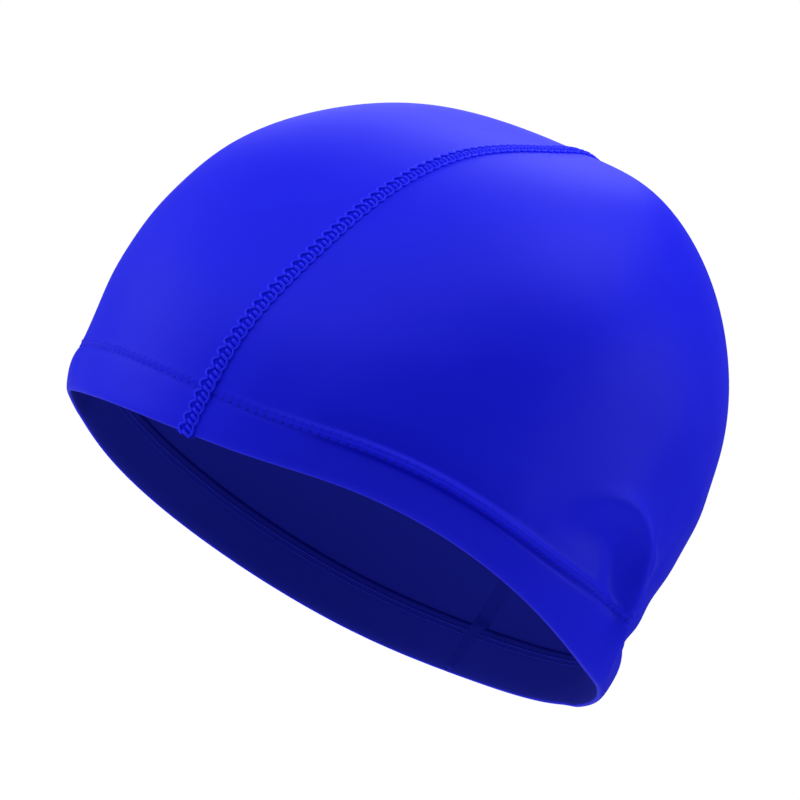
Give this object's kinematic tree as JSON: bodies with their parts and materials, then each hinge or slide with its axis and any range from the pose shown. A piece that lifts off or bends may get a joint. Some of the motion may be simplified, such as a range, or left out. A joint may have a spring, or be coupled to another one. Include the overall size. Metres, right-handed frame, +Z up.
{
  "type": "swim cap",
  "caption": "Soft fabric swim cap in the form it takes on a head: half panels joined by a raised seam over the crown, with a turned and stitched hem round the head opening.",
  "frame": {"origin": "The centre of the head opening, at the mean height of its rim, where the cap sits on a head.", "axes": "+Z up through the crown, -Y the front of the cap, +X the wearer's left."},
  "size_m": [0.1601, 0.1665, 0.1285],
  "materials": {
    "crown_cloth": "royal blue stretch tricot, faint sheen",
    "hem_cloth": "royal blue stretch tricot, turned up once",
    "seam_thread": "royal blue flatlock stitching"
  },
  "bodies": {
    "root": {"crown_panel_left": "crown_cloth", "crown_panel_right": "crown_cloth", "hem_left": "hem_cloth", "hem_right": "hem_cloth", "crown_seam": "seam_thread"}
  },
  "joints": []
}
